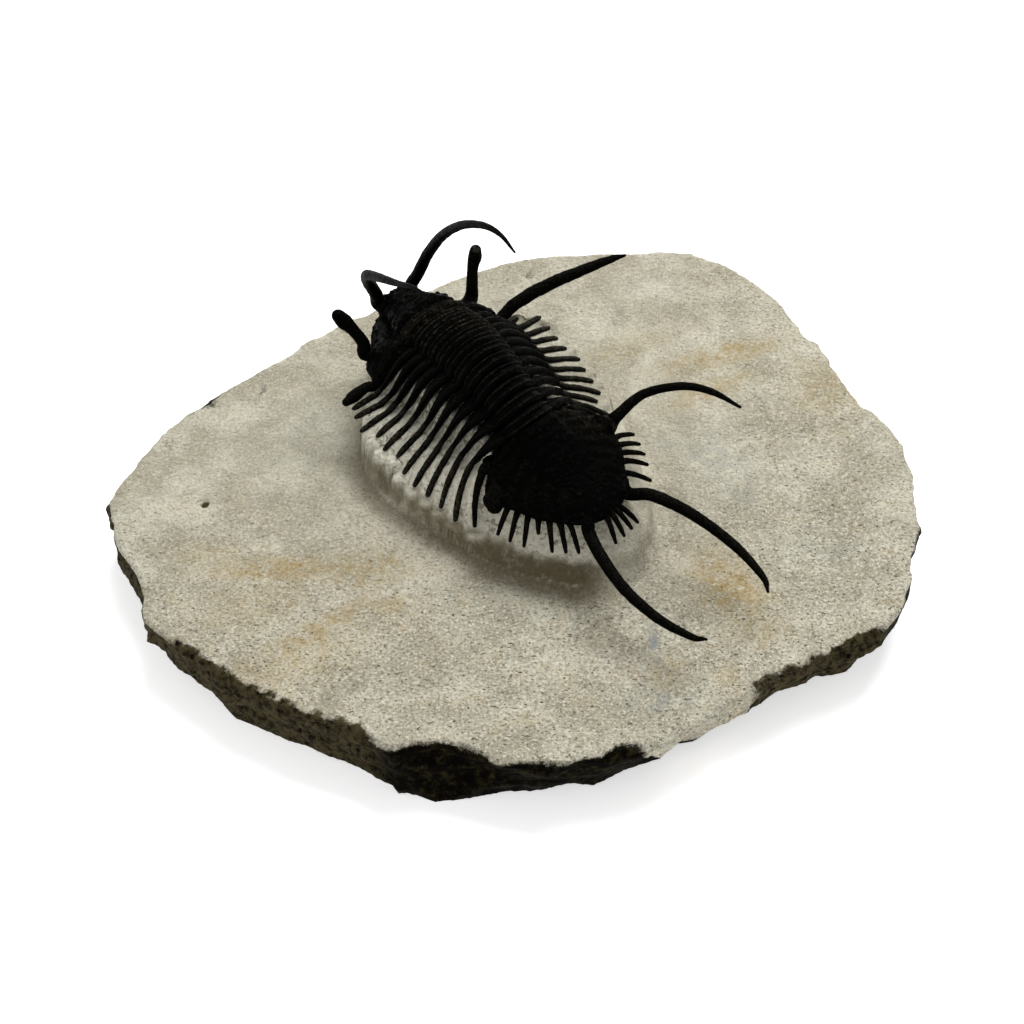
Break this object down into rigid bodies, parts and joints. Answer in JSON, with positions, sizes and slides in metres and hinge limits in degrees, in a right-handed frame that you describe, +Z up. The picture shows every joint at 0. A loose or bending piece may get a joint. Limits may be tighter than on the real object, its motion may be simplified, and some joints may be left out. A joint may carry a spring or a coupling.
{
  "type": "ceratarges trilobite fossil",
  "caption": "Spiny horned trilobite fossil with stalked eyes, side spines and long tail spines, arched over a raised mound on a loose slab of pale matrix stone.",
  "frame": {"origin": "on the underside of the slab, below the middle of its outline", "axes": "+Z up, out of the slab's face that carries the fossil; +X along the slab's longest side; the animal's head points towards -X and +Y"},
  "size_m": [0.1205, 0.1049, 0.0497],
  "materials": {
    "matrix_stone": "sandy, matt",
    "fossil_shield": "fine warty, satin",
    "fossil_thorax": "ridged, satin",
    "fossil_spine": "smooth, satin"
  },
  "bodies": {
    "root": {"matrix_slab": "matrix_stone", "cephalon": "fossil_shield", "thorax_segment_01": "fossil_thorax", "thorax_segment_02": "fossil_thorax", "thorax_segment_03": "fossil_thorax", "thorax_segment_04": "fossil_thorax", "thorax_segment_05": "fossil_thorax", "thorax_segment_06": "fossil_thorax", "thorax_segment_07": "fossil_thorax", "thorax_segment_08": "fossil_thorax", "thorax_segment_09": "fossil_thorax", "thorax_segment_10": "fossil_thorax", "thorax_segment_11": "fossil_thorax", "pygidium": "fossil_shield", "left_horn": "fossil_spine", "right_horn": "fossil_spine", "left_eye_stalk": "fossil_spine", "right_eye_stalk": "fossil_spine", "left_genal_spine": "fossil_spine", "right_genal_spine": "fossil_spine", "left_front_tail_spine": "fossil_spine", "right_front_tail_spine": "fossil_spine", "left_rear_tail_spine": "fossil_spine", "right_rear_tail_spine": "fossil_spine"}
  },
  "joints": []
}
